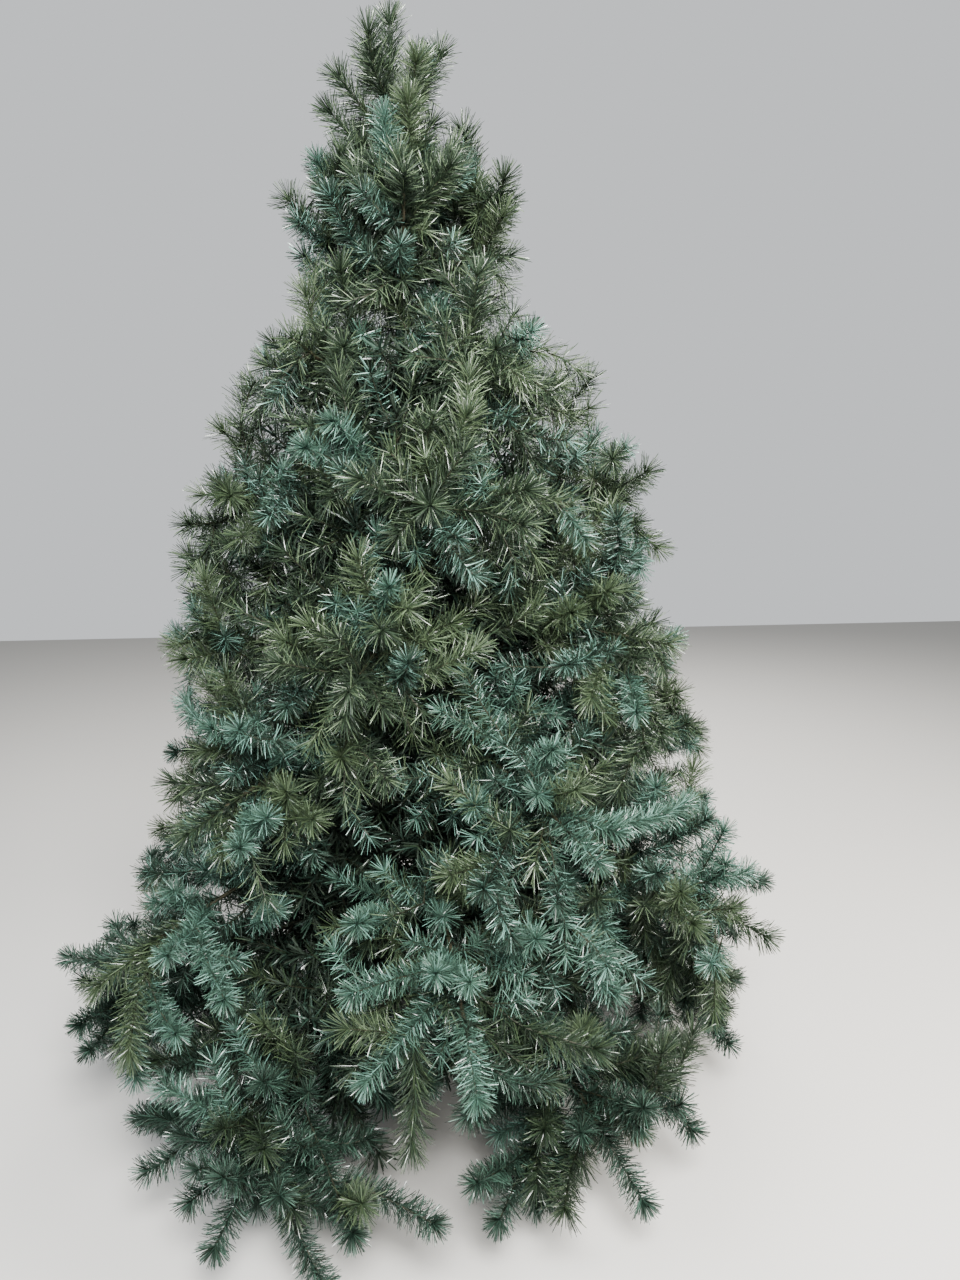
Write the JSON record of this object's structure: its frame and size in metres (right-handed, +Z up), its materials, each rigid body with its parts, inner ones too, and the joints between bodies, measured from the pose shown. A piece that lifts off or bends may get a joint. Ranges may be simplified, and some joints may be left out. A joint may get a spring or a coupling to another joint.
{
  "type": "artificial christmas tree",
  "caption": "Full artificial tree: drooping tiers of needle boughs round a sectioned pole, a pointed top and a plain legged stand with rubber feet.",
  "frame": {"origin": "on the floor, under the pole's axis", "axes": "+Z up the pole, -Y towards the front, +X to the viewer's right"},
  "size_m": [1.4852, 1.4447, 2.1],
  "materials": {
    "needles": "soft plastic film",
    "bough_wire": "wrapped wire",
    "pole": "semi-gloss paint",
    "stand": "semi-gloss paint",
    "foot": "matt",
    "screw": "plated"
  },
  "bodies": {
    "root": {"bough_tier1_1": "bough_wire", "bough_tier1_2": "bough_wire", "bough_tier1_3": "bough_wire", "bough_tier1_4": "bough_wire", "bough_tier1_5": "bough_wire", "bough_tier1_6": "bough_wire", "bough_tier2_1": "bough_wire", "bough_tier2_2": "bough_wire", "bough_tier2_3": "bough_wire", "bough_tier2_4": "bough_wire", "bough_tier2_5": "bough_wire", "bough_tier2_6": "bough_wire", "foliage_tier1_1": "needles", "foliage_tier1_2": "needles", "foliage_tier1_3": "needles", "foliage_tier1_4": "needles", "foliage_tier1_5": "needles", "foliage_tier1_6": "needles", "foliage_tier2_1": "needles", "foliage_tier2_2": "needles", "foliage_tier2_3": "needles", "foliage_tier2_4": "needles", "foliage_tier2_5": "needles", "foliage_tier2_6": "needles", "foliage_tier3_1": "needles", "foliage_tier3_2": "needles", "foliage_tier3_3": "needles", "foliage_tier3_4": "needles", "foliage_tier3_5": "needles", "foliage_tier4_1": "needles", "foliage_tier4_2": "needles", "foliage_tier4_3": "needles", "foliage_tier4_4": "needles", "foliage_tier4_5": "needles", "foliage_tier5_1": "needles", "foliage_tier5_2": "needles", "foliage_tier5_3": "needles", "foliage_tier5_4": "needles", "foliage_tier6_1": "needles", "foliage_tier6_2": "needles", "foliage_tier6_3": "needles", "foliage_tier6_4": "needles", "foliage_tier7_1": "needles", "foliage_tier7_2": "needles", "foliage_tier7_3": "needles", "foliage_tier7_4": "needles", "foliage_top": "needles", "stand_foot_1": "foot", "stand_foot_2": "foot", "stand_foot_3": "foot", "stand_foot_4": "foot", "stand_hub": "stand", "stand_leg_1": "stand", "stand_leg_2": "stand", "stand_leg_3": "stand", "stand_leg_4": "stand", "thumb_screw_1": "screw", "thumb_screw_2": "screw", "trunk": "pole"}
  },
  "joints": []
}
